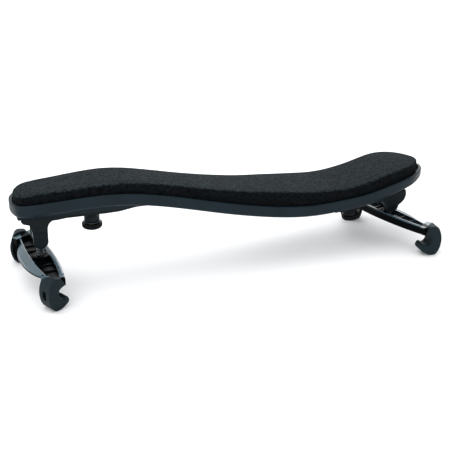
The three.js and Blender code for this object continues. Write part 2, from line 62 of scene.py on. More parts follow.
SIDES = {
    "left": dict(pin=(-99.8, 26.4), slope=0.0, h=11.6, k=29.0, boss=4.9, head_t=2.0, slot=1.6, bar=54.8,
                 pad=(-11.5, 60.0), slide=8.0, swivel=6.8, post=36.2, o=-1),
    "right": dict(pin=(106.8, 21.6), slope=11.5, h=5.2, k=24.0, boss=3.1, head_t=1.8, slot=1.4, bar=33.0,
                  pad=(9.5, 36.0), slide=5.0, swivel=18.0, post=30.6, o=1)}
BAR_T, GAP, PAD_HALF, SLOT_HALF, RECESS_HALF = 2.3, 0.3, 8.4, 2.45, 4.6
FLOOR_LO, FLOOR_HI, FOAM_LO, RIM_T, RIM_H = 1.6, 3.4, 3.7, 1.8, 6.5
BOOT = [
    (4.4, 17.5), (0.8, 17.5), (-0.1, 16.9), (-1.2, 15.2), (-2.1, 13.5), (-1.8, 12.9), (0.1, 12.2), (1.3, 11.4), (1.85, 10.6),
    (1.85, 8.2), (1.5, 7.2), (0.5, 6.1), (-0.9, 5.75), (-1.7, 6.2), (-2.4, 6.6), (-3.2, 6.2), (-3.9, 5.2), (-4.2, 3.9),
    (-3.6, 2.8), (-1.9, 1.6), (0.5, 0.5), (1.9, 0), (4.1, 0), (5.6, 1.0), (6.9, 2.8), (7.8, 5.4), (8.2, 8.8), (7.9, 11.8),
    (7.0, 14.6), (5.8, 16.7)]
CORE = [
    (4.6, 15.9), (1.5, 15.9), (0.9, 15.2), (0.8, 14.3), (2.4, 13.4), (3.4, 12.2), (3.75, 10.5), (3.65, 8.2), (3.0, 6.0),
    (1.6, 4.5), (-1.5, 4.25), (-2.0, 3.8), (-1.3, 3.2), (0.9, 2.3), (3.1, 1.8), (4.7, 2.2), (5.7, 4.0), (6.3, 6.8), (6.4, 9.3),
    (6.1, 12), (5.4, 14.4)]
CLAW_U, CLAW_Y, CLAW_FAN, CLAW_HALF, COLLAR_Z = 3.6, 32.9, 20.0, 4.8, 12.3
COLLAR = [(12.7, 27.78), (-8.5, 37.43), (-9, 15), (14, 15)]


# --------------------------------------------------------------------- helpers
def spline(xs, ys):
    """Natural cubic spline, as a function of a number or an array."""
    xs, ys = np.array(xs, float), np.array(ys, float)
    n, h = len(xs), np.diff(xs)
    a = np.zeros((n, n))
    b = np.zeros(n)
    a[0, 0] = a[-1, -1] = 1
    for i in range(1, n - 1):
        a[i, i - 1:i + 2] = h[i - 1], 2 * (h[i - 1] + h[i]), h[i]
        b[i] = 6 * ((ys[i + 1] - ys[i]) / h[i] - (ys[i] - ys[i - 1]) / h[i - 1])
    m = np.linalg.solve(a, b)

    def f(x):
        x = np.asarray(x, float)
        i = np.clip(np.searchsorted(xs, x) - 1, 0, n - 2)
        t, u = x - xs[i], xs[i + 1] - x
        return ((m[i] * u**3 + m[i + 1] * t**3) / (6 * h[i]) + (ys[i] / h[i] - m[i] * h[i] / 6) * u
                + (ys[i + 1] / h[i] - m[i + 1] * h[i] / 6) * t)
    return f


zb, hf = spline(ZB_X, ZB_Z), spline(HF_X, HF_Z)


def catmull(pts, per=30):
    p, out = np.array(pts, float), []
    n = len(p)
    for i in range(n):
        p0, p1, p2, p3 = p[(i - 1) % n], p[i], p[(i + 1) % n], p[(i + 2) % n]
        t1 = np.linalg.norm(p1 - p0) ** 0.5
        t2 = t1 + np.linalg.norm(p2 - p1) ** 0.5
        t3 = t2 + np.linalg.norm(p3 - p2) ** 0.5
        for t in np.linspace(t1, t2, per, endpoint=False):
            a1 = (t1 - t) / t1 * p0 + t / t1 * p1
            a2 = (t2 - t) / (t2 - t1) * p1 + (t - t1) / (t2 - t1) * p2
            a3 = (t3 - t) / (t3 - t2) * p2 + (t - t2) / (t3 - t2) * p3
            b1 = (t2 - t) / t2 * a1 + t / t2 * a2
            b2 = (t3 - t) / (t3 - t1) * a2 + (t - t1) / (t3 - t1) * a3
            out.append((t2 - t) / (t2 - t1) * b1 + (t - t1) / (t2 - t1) * b2)
    return np.array(out)


def resample(poly, n):
    s = np.r_[0, np.cumsum(np.linalg.norm(np.diff(poly, axis=0), axis=1))]
    t = np.linspace(0, s[-1], n)
    return np.stack([np.interp(t, s, poly[:, k]) for k in range(poly.shape[1])], 1)


def outline(pts, count):
    """Closed smooth plan, starting at its left tip; half its points run along the near side, half along the far."""
    d = catmull(pts, 40)
    d = np.roll(d, -int(np.argmin(d[:, 0])), axis=0)
    r = int(np.argmax(d[:, 0]))
    near, far = resample(d[:r + 1], count // 2 + 1), resample(np.vstack([d[r:], d[:1]]), count // 2 + 1)
    return np.vstack([near[:-1], far[:-1]])


def inset(p, d):
    t = np.roll(p, -1, axis=0) - np.roll(p, 1, axis=0)
    t /= np.linalg.norm(t, axis=1)[:, None]
    return p + np.stack([-t[:, 1], t[:, 0]], 1) * d


def new_object(name, verts, faces):
    me = bpy.data.meshes.new(name)
    me.from_pydata([tuple(map(float, v)) for v in verts], [], [tuple(map(int, f)) for f in faces])
    me.update()
    ob = bpy.data.objects.new(name, me)
    bpy.context.scene.collection.objects.link(ob)
    return ob


def outward(ob):
    bm = bmesh.new()
    bm.from_mesh(ob.data)
    bmesh.ops.remove_doubles(bm, verts=bm.verts, dist=1e-5)
    bmesh.ops.recalc_face_normals(bm, faces=bm.faces)
    if bm.calc_volume(signed=True) < 0:
        bmesh.ops.reverse_faces(bm, faces=bm.faces)
    bm.to_mesh(ob.data)
    bm.free()
    return ob


def settle(ob):
    """Applies the object's modifiers to its mesh."""
    dg = bpy.context.evaluated_depsgraph_get()
    me = bpy.data.meshes.new_from_object(ob.evaluated_get(dg))
    old = ob.data
    ob.modifiers.clear()
    ob.data = me
    bpy.data.meshes.remove(old)
    return ob


def boole(a, b, how):
    m = a.modifiers.new("b", "BOOLEAN")
    m.operation, m.object, m.solver = how, b, "EXACT"
    settle(a)
    bpy.data.objects.remove(b)
    return a


def join(a, *rest):
    for b in rest:
        boole(a, b, "UNION")
    return a


def cut(a, *rest):
    for b in rest:
        boole(a, b, "DIFFERENCE")
    return a


def prism(pts, y0, y1, plane="xz"):
    """Closed prism of an outline between two planes."""
    p = np.array(pts, float)
    n = len(p)
    if plane == "xz":
        v = [(x, y0, z) for x, z in p] + [(x, y1, z) for x, z in p]
    else:
        v = [(x, y, y0) for x, y in p] + [(x, y, y1) for x, y in p]
    f = [tuple(range(n)), tuple(range(2 * n - 1, n - 1, -1))]
    f += [(i, i + n, (i + 1) % n + n, (i + 1) % n) for i in range(n)]
    return outward(new_object("tmp", v, f))


def lathe(profile, seg=64, radius=None):
    """Closed surface of revolution about z. profile runs from axis to axis, or closes on itself."""
    closed = profile[0] == profile[-1]
    prof = profile[:-1] if closed else profile
    verts, rows = [], []
    for r, z, *fl in prof:
        if r <= 1e-9:
            rows.append([len(verts)] * seg)
            verts.append((0, 0, z))
            continue
        rows.append(list(range(len(verts), len(verts) + seg)))
        for i in range(seg):
            t = 2 * math.pi * i / seg
            q = r + (radius(t) * fl[0] if radius and fl else 0)
            verts.append((q * math.cos(t), q * math.sin(t), z))
    faces, m = [], len(rows)
    for j in range(m if closed else m - 1):
        a, b = rows[j], rows[(j + 1) % m]
        for i in range(seg):
            k = (i + 1) % seg
            q = []
            for x in (a[i], a[k], b[k], b[i]):
                if x not in q:
                    q.append(x)
            if len(q) > 2:
                faces.append(q)
    return outward(new_object("tmp", verts, faces))


def threaded(r_out, r_root, pitch, z0, z1, seg=48, steps=10, lead=1.0):
    """Rod with a real helical thread and chamfered ends."""
    n = int((z1 - z0) / pitch * steps) + 1
    verts, faces = [], []
    for j in range(n + 1):
        z = z0 + (z1 - z0) * j / n
        end = min(1.0, min(z - z0, z1 - z) / lead)
        for i in range(seg):
            t = i / seg
            ph = (z / pitch - t) % 1.0
            tri = 1 - abs(2 * ph - 1)
            tri = min(1.0, max(0.0, (tri - 0.12) / 0.72))
            r = r_root + (r_out - r_root) * tri
            r = min(r, r_root * 0.86 + (r_out - r_root * 0.86) * end)
            verts.append((r * math.cos(2 * math.pi * t), r * math.sin(2 * math.pi * t), z))
    for j in range(n):
        for i in range(seg):
            k = (i + 1) % seg
            faces.append((j * seg + i, j * seg + k, (j + 1) * seg + k, (j + 1) * seg + i))
    for j, fl in ((0, True), (n, False)):
        c = len(verts)
        verts.append((0, 0, z0 if fl else z1))
        for i in range(seg):
            k = (i + 1) % seg
            faces.append((c, j * seg + k, j * seg + i) if fl else (c, j * seg + i, j * seg + k))
    return outward(new_object("tmp", verts, faces))


def tube(path, ra, rb, seg=12):
    """Closed round bead along a path: ra across, rb up."""
    verts, faces, n = [], [], len(path)
    for i, p in enumerate(path):
        d = (path[min(i + 1, n - 1)] - path[max(i - 1, 0)]).normalized()
        e = d.cross(Vector((0, 0, 1)))
        for q in range(seg):
            t = 2 * math.pi * q / seg
            verts.append(p + e * ra * math.cos(t) + Vector((0, 0, 1)) * rb * math.sin(t))
    for i in range(n - 1):
        for q in range(seg):
            r = (q + 1) % seg
            faces.append((i * seg + q, i * seg + r, (i + 1) * seg + r, (i + 1) * seg + q))
    faces += [tuple(range(seg)), tuple(range(n * seg - 1, (n - 1) * seg - 1, -1))]
    return outward(new_object("tmp", verts, faces))


def transform(ob, m):
    """Moves the mesh itself; keeps faces outward through a mirror."""
    ob.data.transform(m)
    if m.determinant() < 0:
        ob.data.flip_normals()
    ob.data.update()
    return ob


def soften(ob, voxel, smooth=3, factor=0.5):
    """Rebuilds a closed mesh with moulded, rounded edges."""
    m = ob.modifiers.new("r", "REMESH")
    m.mode, m.voxel_size, m.adaptivity = "VOXEL", voxel, 0.0
    if smooth:
        s = ob.modifiers.new("s", "SMOOTH")
        s.iterations, s.factor = smooth, factor
    return settle(ob)


def bevel(ob, width, segments=2, angle=35):
    m = ob.modifiers.new("bv", "BEVEL")
    m.width, m.segments, m.limit_method, m.angle_limit = width, segments, "ANGLE", math.radians(angle)
    m.use_clamp_overlap = True
    return settle(ob)


def cad_copy(node):
    """A copy of a CAD node's mesh, in millimetres in the row frame."""
    ob = bpy.data.objects.new("tmp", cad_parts[node].data.copy())
    bpy.context.scene.collection.objects.link(ob)
    ob.data.transform(Matrix.Scale(1000, 4))
    return outward(ob)


def finish_piece(ob, name, body, mats, nodes, shifted=True, smooth_angle=None):
    """Names a piece, puts it in metres in the row frame and gives it its finish and its body."""
    m = Matrix.Scale(0.001, 4)
    if shifted:
        m = m @ Matrix.Translation(Vector(SHIFT))
    ob.data.transform(m)
    ob.name = name
    ob.data.name = name
    if not isinstance(mats, (list, tuple)):
        mats = [mats]
    keep = np.zeros(len(ob.data.polygons), np.int32)
    ob.data.polygons.foreach_get("material_index", keep)
    ob.data.materials.clear()
    for x in mats:
        ob.data.materials.append(x)
    ob.data.polygons.foreach_set("material_index", np.minimum(keep, len(mats) - 1))
    ob.data.polygons.foreach_set("use_smooth", [True] * len(ob.data.polygons))
    if smooth_angle:
        ob.data.set_sharp_from_angle(angle=math.radians(smooth_angle))
    ob.data.update()
    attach(ob, body)
    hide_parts(*nodes)
    return ob


# ------------------------------------------------------------------- materials
def nodes_of(name):
    m = bpy.data.materials.new(name)
    m.use_nodes = True
    nt = m.node_tree
    return m, nt, nt.nodes["Principled BSDF"]


def tex(nt, kind, scale, detail=2.0, **kw):
    co = nt.nodes.get("co") or nt.nodes.new("ShaderNodeTexCoord")
    co.name = "co"
    t = nt.nodes.new(kind)
    nt.links.new(co.outputs["Object"], t.inputs["Vector"])
    t.inputs["Scale"].default_value = scale
    if "Detail" in t.inputs:
        t.inputs["Detail"].default_value = detail
    for k, v in kw.items():
        if k in t.inputs:
            t.inputs[k].default_value = v
        else:
            setattr(t, k, v)
    return t


def ramp(nt, src, stops):
    r = nt.nodes.new("ShaderNodeValToRGB")
    nt.links.new(src, r.inputs["Fac"])
    e = r.color_ramp.elements
    while len(e) < len(stops):
        e.new(0.5)
    for el, (p, c) in zip(e, stops):
        el.position = p
        el.color = (*c, 1) if len(c) == 3 else c
    return r.outputs["Color"]


def grey(v):
    return (v, v, v)


def mixc(nt, a, b, fac, blend="MIX"):
    m = nt.nodes.new("ShaderNodeMix")
    m.data_type, m.blend_type = "RGBA", blend
    for sock, v in ((m.inputs[0], fac), (m.inputs[6], a), (m.inputs[7], b)):
        if hasattr(v, "default_value") or hasattr(v, "links"):
            nt.links.new(v, sock)
        else:
            sock.default_value = v if isinstance(v, (int, float)) else (*v, 1)
    return m.outputs[2]


def bump(nt, bsdf, heights):
    """Chains bump nodes: [(socket, strength, distance in m), ...]."""
    prev = None
    for h, s, d in heights:
        b = nt.nodes.new("ShaderNodeBump")
        b.inputs["Strength"].default_value = s
        b.inputs["Distance"].default_value = d
        nt.links.new(h, b.inputs["Height"])
        if prev:
            nt.links.new(prev, b.inputs["Normal"])
        prev = b.outputs["Normal"]
    nt.links.new(prev, bsdf.inputs["Normal"])


def plastic(name, colour, rough, grain=0.6, grain_size=0.00035, spread=0.06, ior=1.5, spec=0.5):
    m, nt, b = nodes_of(name)
    cloud = tex(nt, "ShaderNodeTexNoise", 55, 3.0)
    fine = tex(nt, "ShaderNodeTexNoise", 1 / grain_size, 2.0, Roughness=0.6)
    lo, hi = tuple(c * 0.82 for c in colour), tuple(min(1, c * 1.2) for c in colour)
    base = ramp(nt, cloud.outputs["Fac"], [(0.3, lo), (0.7, hi)])
    speck = ramp(nt, fine.outputs["Fac"], [(0.35, grey(0.82)), (0.65, grey(1.0))])
    nt.links.new(mixc(nt, base, speck, 0.6, "MULTIPLY"), b.inputs["Base Color"])
    nt.links.new(ramp(nt, cloud.outputs["Fac"], [(0.3, grey(rough - spread)), (0.7, grey(rough + spread))]), b.inputs["Roughness"])
    b.inputs["IOR"].default_value = ior
    b.inputs["Specular IOR Level"].default_value = spec
    bump(nt, b, [(fine.outputs["Fac"], grain * 0.35, 0.00004), (cloud.outputs["Fac"], 0.12, 0.0003)])
    return m


def steel(name, colour=(0.62, 0.63, 0.65), rough=0.24):
    m, nt, b = nodes_of(name)
    b.inputs["Metallic"].default_value = 1.0
    n = tex(nt, "ShaderNodeTexNoise", 900, 3.0)
    s = tex(nt, "ShaderNodeTexNoise", 160, 2.0)
    nt.links.new(ramp(nt, s.outputs["Fac"], [(0.3, tuple(c * 0.8 for c in colour)), (0.7, colour)]), b.inputs["Base Color"])
    nt.links.new(ramp(nt, n.outputs["Fac"], [(0.3, grey(rough - 0.06)), (0.7, grey(rough + 0.1))]), b.inputs["Roughness"])
    bump(nt, b, [(n.outputs["Fac"], 0.12, 0.00003)])
    return m


def foam(name, dark, light, rough=0.9, sheen=0.12):
    """Closed-cell foam: tiny cells at two sizes; the pits at the cell centres are painted darker as shade, the cell
    walls paler.
    """
    m, nt, b = nodes_of(name)
    cells = tex(nt, "ShaderNodeTexVoronoi", 1 / 0.00075, feature="F1")
    small = tex(nt, "ShaderNodeTexVoronoi", 1 / 0.00036, feature="F1")
    mott = tex(nt, "ShaderNodeTexNoise", 1 / 0.0016, 4.0, Roughness=0.7)
    broad = tex(nt, "ShaderNodeTexNoise", 42, 2.0)
    c1 = ramp(nt, mott.outputs["Fac"], [(0.38, dark), (0.5, tuple((d + l) / 2 for d, l in zip(dark, light))), (0.62, light)])
    # darker at the cell centres: painted shade in the pits
    painted_pit_shade = ramp(nt, cells.outputs["Distance"], [(0.15, grey(0.5)), (0.55, grey(1.0))])
    c3 = ramp(nt, broad.outputs["Fac"], [(0.3, grey(0.86)), (0.7, grey(1.0))])
    nt.links.new(mixc(nt, mixc(nt, c1, painted_pit_shade, 0.6, "MULTIPLY"), c3, 1.0, "MULTIPLY"), b.inputs["Base Color"])
    b.inputs["Roughness"].default_value = rough
    b.inputs["Specular IOR Level"].default_value = 0.06
    b.inputs["Sheen Weight"].default_value = sheen
    b.inputs["Sheen Roughness"].default_value = 0.5
    bump(nt, b, [(cells.outputs["Distance"], 0.7, 0.00022), (small.outputs["Distance"], 0.5, 0.00012), (mott.outputs["Fac"], 0.4, 0.0003)])
    return m


M_SHELL = plastic("shell_plastic", (0.0040, 0.0115, 0.0165), 0.42, 0.8, spec=0.14)
M_BRACKET = plastic("bracket_plastic", (0.0032, 0.0068, 0.0090), 0.42, 0.7, spec=0.12)
M_FORK = plastic("fork_plastic", (0.0010, 0.0015, 0.0022), 0.26, 0.5, 0.0005, spec=0.03)
# a lighter blue-grey copy of the fork plastic: painted highlight for the fork's upward faces
M_FORK_PAINTED_HIGHLIGHT = plastic("fork_painted_highlight", (0.048, 0.088, 0.112), 0.30, 0.5, 0.0005, spec=0.45)
M_KNOB = plastic("knob_plastic", (0.0020, 0.0030, 0.0038), 0.42, 0.6, spec=0.09)
M_BOOT = plastic("boot_rubber", (0.0060, 0.0132, 0.0170), 0.55, 1.2, 0.0006, 0.05, 1.45, 0.13)
M_STEEL = steel("zinc_steel")
M_DARK = steel("blackened_steel", (0.055, 0.062, 0.070), 0.34)
M_BRASS = steel("turned_brass", (0.72, 0.53, 0.24), 0.28)
# the same foam twice: a lighter copy with painted light for the top, a darker copy with painted shade for the sides
M_FOAM_PAINTED_LIT_TOP = foam("foam_painted_lit_top", (0.0014, 0.0022, 0.0026), (0.0150, 0.0235, 0.0270), 0.85, 0.01)
M_FOAM_PAINTED_SHADED_SIDE = foam("foam_painted_shaded_side", (0.0010, 0.0014, 0.0018), (0.0058, 0.0076, 0.0092), 0.95, 0.0)


# ------------------------------------------------------------ shell and pad
def loft_body(rings, top_m, bottom_m, top_z, bottom_z):
    """Closed body: rings of equal count from the bottom up, with gridded caps between its two long sides."""
    k = len(rings[0])
    verts = [p for r in rings for p in r]
    faces = []
    for r in range(len(rings) - 1):
        for i in range(k):
            j = (i + 1) % k
            faces.append((r * k + i, r * k + j, (r + 1) * k + j, (r + 1) * k + i))
    caps = []
    for r, m, zf, flip in ((0, bottom_m, bottom_z, True), (len(rings) - 1, top_m, top_z, False)):
        ring, base = np.array(rings[r]), r * k
        start = len(verts)
        for i in range(1, k // 2):
            a, b = ring[i], ring[k - i]
            for q in range(1, m):
                s = q / m
                x, y = a[0] + (b[0] - a[0]) * s, a[1] + (b[1] - a[1]) * s
                verts.append((x, y, float(zf(x, y, s))))

        def g(i, q):
            if i <= 0:
                return base
            if i >= k // 2:
                return base + k // 2
            return base + i if q == 0 else base + k - i if q == m else start + (i - 1) * (m - 1) + q - 1
        for i in range(0, k // 2):
            for q in range(m):
                f = []
                for x in (g(i, q), g(i + 1, q), g(i + 1, q + 1), g(i, q + 1)):
                    if x not in f:
                        f.append(x)
                if len(f) > 2:
                    caps.append(len(faces))
                    faces.append(f[::-1] if flip else f)
    return verts, faces


def build_foam():
    k = 900
    out = outline(FOAM_PLAN, k)
    x0 = out[:, 0]

    def ring(o, z):
        p = inset(out, o)
        return [(p[i, 0], p[i, 1], zb(x0[i]) + z(x0[i])) for i in range(k)]
    spec = [(1.2, lambda x: FOAM_LO), (0.4, lambda x: FOAM_LO + 0.02), (0.12, lambda x: FOAM_LO + 0.35)]
    for t in np.linspace(0.12, 0.92, 9):
        spec.append((0.0, lambda x, t=t: FOAM_LO + 0.8 + (hf(x) - 1.7 - FOAM_LO - 0.8) * t))
    for a in np.linspace(0, 90, 8):
        a = math.radians(a)
        spec.append((1.5 * (1 - math.cos(a)), lambda x, a=a: hf(x) - 1.4 + 1.4 * math.sin(a)))
    spec += [(2.3, lambda x: hf(x) + 0.03)]
    rings = [ring(o, z) for o, z in spec]
    crown = lambda x, y, s: zb(x) + hf(x) + 0.03 + 0.22 * (1 - (2 * s - 1) ** 4)
    verts, faces = loft_body(rings, 44, 6, crown, lambda x, y, s: zb(x) + FOAM_LO)
    ob = new_object("tmp", verts, faces)
    outward(ob)
    me = ob.data
    n = len(me.vertices)
    co, no = np.zeros(n * 3), np.zeros(n * 3)
    me.vertices.foreach_get("co", co)
    me.vertices.foreach_get("normal", no)
    co, no = co.reshape(-1, 3), no.reshape(-1, 3)
    d = np.array([0.03 * noise.noise(Vector(p / 1.3)) + 0.03 * noise.noise(Vector(p / 3.1)) + 0.10 * noise.noise(Vector(p / 17.0))
                  for p in co])
    hfz = zb(co[:, 0]) + FOAM_LO
    d[co[:, 2] < hfz + 0.6] = 0
    co += no * d[:, None]
    me.vertices.foreach_set("co", co.ravel())
    me.update()
    # faces near the top take the lighter foam (painted light), the rest take the darker foam (painted shade)
    top = zb(co[:, 0]) + hf(co[:, 0]) - 0.75
    high = co[:, 2] > top
    idx = [0 if sum(high[v] for v in p.vertices) * 2 > len(p.vertices) else 1 for p in me.polygons]
    me.polygons.foreach_set("material_index", idx)
    ob = finish_piece(ob, "foam_pad_visual", "rest", [M_FOAM_PAINTED_LIT_TOP, M_FOAM_PAINTED_SHADED_SIDE], ["foam_pad"])


def frombr(s, a, b):
    t = math.radians(s["slope"])
    return (s["pin"][0] - s["o"] * a * math.cos(t) - s["o"] * b * math.sin(t), s["pin"][1] - a * math.sin(t) + b * math.cos(t))


def build_shell():
    k = 640
    out = outline(SHELL_PLAN, k)
    x0 = out[:, 0]
    sec = [(0.0, 5.85), (0.0, 4.6), (0.0, 3.3), (0.0, 2.1), (0.03, 1.55), (0.14, 1.05), (0.36, 0.58), (0.68, 0.22), (1.05, 0.04),
           (1.35, 0.02), (1.6, 0.12), (1.76, 0.34), (1.8, 0.65), (1.8, 1.3), (1.8, 5.3), (1.8, 5.95), (1.74, 6.22), (1.58, 6.4),
           (1.36, 6.48), (1.1, 6.5), (0.7, 6.5), (0.42, 6.46), (0.2, 6.34), (0.05, 6.12)]
    verts, faces = [], []
    for o, z in sec:
        p = inset(out, o)
        t = np.clip((x0 - 95) / 33, 0, 1)
        drop = t * t * (3 - 2 * t) * min(1, max(0, (z - 1.5) / 3.8))
        verts += [(p[i, 0], p[i, 1], zb(x0[i]) + z - drop[i]) for i in range(k)]
    m = len(sec)
    for j in range(m):
        for i in range(k):
            faces.append((j * k + i, j * k + (i + 1) % k, (j + 1) % m * k + (i + 1) % k, (j + 1) % m * k + i))
    rim = outward(new_object("tmp", verts, faces))
    f = inset(out, 1.0)
    low = [(f[i, 0], f[i, 1], zb(f[i, 0]) + FLOOR_LO) for i in range(k)]
    top = [(f[i, 0], f[i, 1], zb(f[i, 0]) + FLOOR_HI) for i in range(k)]
    floor = new_object("tmp", *loft_body([low, top], 12, 12, lambda x, y, s: zb(x) + FLOOR_HI, lambda x, y, s: zb(x) + FLOOR_LO))
    outward(floor)
    under = []
    for y in (-9, 9):
        xs = np.linspace(-38, 57, 60)
        under.append(prism([(x, zb(x) + 0.2) for x in xs] + [(x, zb(x) + 2.4) for x in xs[::-1]], y - 0.6, y + 0.6))
    for x in (-30, -12, 6, 24, 42):
        under.append(prism([(x - 0.6, zb(x) + 0.4), (x + 0.6, zb(x) + 0.4), (x + 0.6, zb(x) + 2.3), (x - 0.6, zb(x) + 2.3)], -15.2, 13.4))
    cuts = []
    for s in SIDES.values():
        lo = s["h"] + BAR_T + GAP
        aa = np.linspace(s["pad"][0], s["pad"][1], 40)
        ring = [frombr(s, a, lo) for a in aa] + [frombr(s, s["pad"][1] + 3, lo + 3.2)]
        back = [(x, zb(x) + FLOOR_LO + 0.5) for x in [frombr(s, a, lo)[0] for a in aa] + [frombr(s, s["pad"][1] + 3, lo)[0]]]
        pad = prism(ring + back[::-1], -PAD_HALF, PAD_HALF)
        under.append(bevel(pad, 0.45, 2, 50))
        quad = lambda a0, a1, b0, b1: [frombr(s, a0, b0), frombr(s, a1, b0), frombr(s, a1, b1), frombr(s, a0, b1)]
        g0, g1 = max(s["k"] - 21, s["pad"][0] + 1.5), min(s["bar"] + s["slide"] - 3, s["pad"][1] - 1.2)
        cuts += [prism(quad(g0, g1, lo - 1, lo + s["slot"]), -SLOT_HALF, SLOT_HALF),
                 prism(quad(s["k"] - s["slide"] - 4.6, s["k"] + s["slide"] + 4.6, lo + s["slot"], lo + 16), -RECESS_HALF, RECESS_HALF),
                 prism(quad(s["k"] - s["slide"] - 2.5, s["k"] + s["slide"] + 2.5, lo - 1, lo + s["slot"] + 1), -SLOT_HALF, SLOT_HALF)]
    join(rim, floor, *under)
    cut(rim, *cuts)
    finish_piece(rim, "shell_visual", "rest", M_SHELL, ["shell"], smooth_angle=38)


# ------------------------------------------------------------------ leg parts
def side_matrix(s, mirror=True):
    t, o = math.radians(s["slope"]), s["o"]
    y = 1 if mirror or o < 0 else -1
    return Matrix(((-o * math.cos(t), 0, -o * math.sin(t), s["pin"][0]), (0, y, 0, 0), (-math.sin(t), 0, math.cos(t), s["pin"][1]), (0, 0, 0, 1)))


def build_leg(side):
    s = SIDES[side]
    h, kk = s["h"], s["k"]
    fr, turned = side_matrix(s), side_matrix(s, False)
    at = lambda m: m @ Matrix.Translation((kk, 0, 0))
    boss_lo = h - s["boss"]
    w_hi = boss_lo - GAP
    k_hi = w_hi - 0.6 - GAP
    k_lo = k_hi - 3.3
    carriage, knob_b = f"{side}_carriage", f"{side}_knob"

    # bracket with moulded edges
    br = soften(cad_copy(f"{side}_slide_bracket"), 0.21, 3)
    finish_piece(br, f"{side}_slide_bracket_visual", carriage, M_BRACKET, [f"{side}_slide_bracket"], shifted=False)

    # bolt
    head_lo = h + BAR_T + GAP + s["slot"] + GAP
    hd = 4.2
    head = bevel(prism([(-hd, -hd), (hd, -hd), (hd, hd), (-hd, hd)], head_lo, head_lo + s["head_t"], "xy"), 0.35, 3)
    bolt = join(head, threaded(2.0, 1.62, 0.7, k_lo + 1.1, head_lo + 0.4, 40, 8, 0.8))
    transform(bolt, at(turned))
    finish_piece(bolt, f"{side}_clamp_bolt_visual", carriage, M_STEEL, [f"{side}_clamp_bolt"], smooth_angle=40)

    # washer
    c = 0.12
    wa = lathe([(2.4, w_hi - 0.6 + c), (2.4 + c, w_hi - 0.6), (4.4 - c, w_hi - 0.6), (4.4, w_hi - 0.6 + c), (4.4, w_hi - c), (4.4 - c, w_hi),
                (2.4 + c, w_hi), (2.4, w_hi - c), (2.4, w_hi - 0.6 + c)], 64)
    transform(wa, at(turned))
    finish_piece(wa, f"{side}_knob_washer_visual", f"{side}_washer", M_DARK, [f"{side}_knob_washer"], smooth_angle=30)

    # knob: ribbed cap
    rib = lambda t: -0.11 + 0.11 * math.cos(36 * t)
    prof = [(0, k_lo), (3.4, k_lo), (4.1, k_lo + 0.04), (4.55, k_lo + 0.16), (4.95, k_lo + 0.38), (5.25, k_lo + 0.7, 0.4), (5.45, k_lo + 1.05, 1.0),
            (5.55, k_lo + 1.4, 1.4), (5.55, k_lo + 2.0, 1.4), (5.55, k_hi - 0.6, 1.4), (5.52, k_hi - 0.35, 1.0), (5.4, k_hi - 0.12, 0.4), (5.2, k_hi),
            (3.9, k_hi), (3.72, k_hi - 0.1), (3.7, k_hi - 0.3), (3.7, k_hi - 2.1), (2.4, k_hi - 2.1), (2.4, k_lo + 0.8), (0, k_lo + 0.8)]
    kn = lathe(prof, 288, rib)
    transform(kn, at(turned))
    finish_piece(kn, f"{side}_clamp_knob_visual", knob_b, M_KNOB, [f"{side}_clamp_knob"], smooth_angle=42)
    ins = bevel(cad_copy(f"{side}_knob_insert"), 0.12, 2)
    finish_piece(ins, f"{side}_knob_insert_visual", knob_b, M_BRASS, [f"{side}_knob_insert"], shifted=False, smooth_angle=30)

    # knuckle, stub pins and threaded post
    kn = soften(cad_copy(f"{side}_hinge_knuckle"), 0.16, 2)
    finish_piece(kn, f"{side}_hinge_knuckle_visual", f"{side}_leg", M_DARK, [f"{side}_hinge_knuckle"], shifted=False)
    for tag, y0, y1 in (("front", -6.35, -2.95), ("rear", 2.95, 6.35)):
        pin = lathe([(0, y0), (1.2, y0), (1.4, y0 + 0.2), (1.4, y1 - 0.2), (1.2, y1), (0, y1)], 40)
        transform(pin, Matrix.Translation((s["pin"][0], 0, s["pin"][1])) @ Matrix.Rotation(-math.pi / 2, 4, "X"))
        finish_piece(pin, f"{side}_hinge_pin_{tag}_visual", f"{side}_leg", M_STEEL, [f"{side}_hinge_pin_{tag}"], smooth_angle=30)
    post = threaded(2.25, 1.72, 1.5, 13.2, s["post"], 56, 14, 0.7)
    transform(post, Matrix.Translation((s["pin"][0], 0, 0)))
    finish_piece(post, f"{side}_fork_post_visual", f"{side}_lift", M_DARK, [f"{side}_fork_post"], smooth_angle=50)

    # fork: rounded moulding with a raised bead round the outer crescent
    sw = math.radians(s["swivel"])
    fm = Matrix.Translation((s["pin"][0], 0, 0)) @ Matrix.Rotation(sw, 4, "Z") @ Matrix.Scale(s["o"], 4, (1, 0, 0))
    fork = cad_copy(f"{side}_fork")
    rim = lambda y: 6.3 - 2.2 * (y / 31) ** 2
    reach = lambda y: max(5.3 + 5.8 * (1 - min(1, abs(y) / 22.5) ** 2.2) ** 0.75, rim(y) + 0.15)
    yb = 22.3 * np.sin(np.linspace(-math.pi / 2, math.pi / 2, 60))
    path = [Vector((reach(y) - 0.42, y, 13.3)) for y in yb]
    lip = [Vector((rim(y) - 0.5, y, 15.1)) for y in np.linspace(-27.5, 27.5, 56)]
    ridge = [Vector((-6.6 + 2.6 * (y / 31) ** 2 + 1.0, y, 17.0)) for y in np.linspace(-30.5, 30.5, 56)]
    for line, ra, rb in ((path, 0.42, 0.55), (lip, 0.5, 0.4), (ridge, 1.0, 0.42)):
        join(fork, transform(tube(line, ra, rb), Matrix.Translation(Vector(SHIFT)) @ fm))
    soften(fork, 0.24, 2)
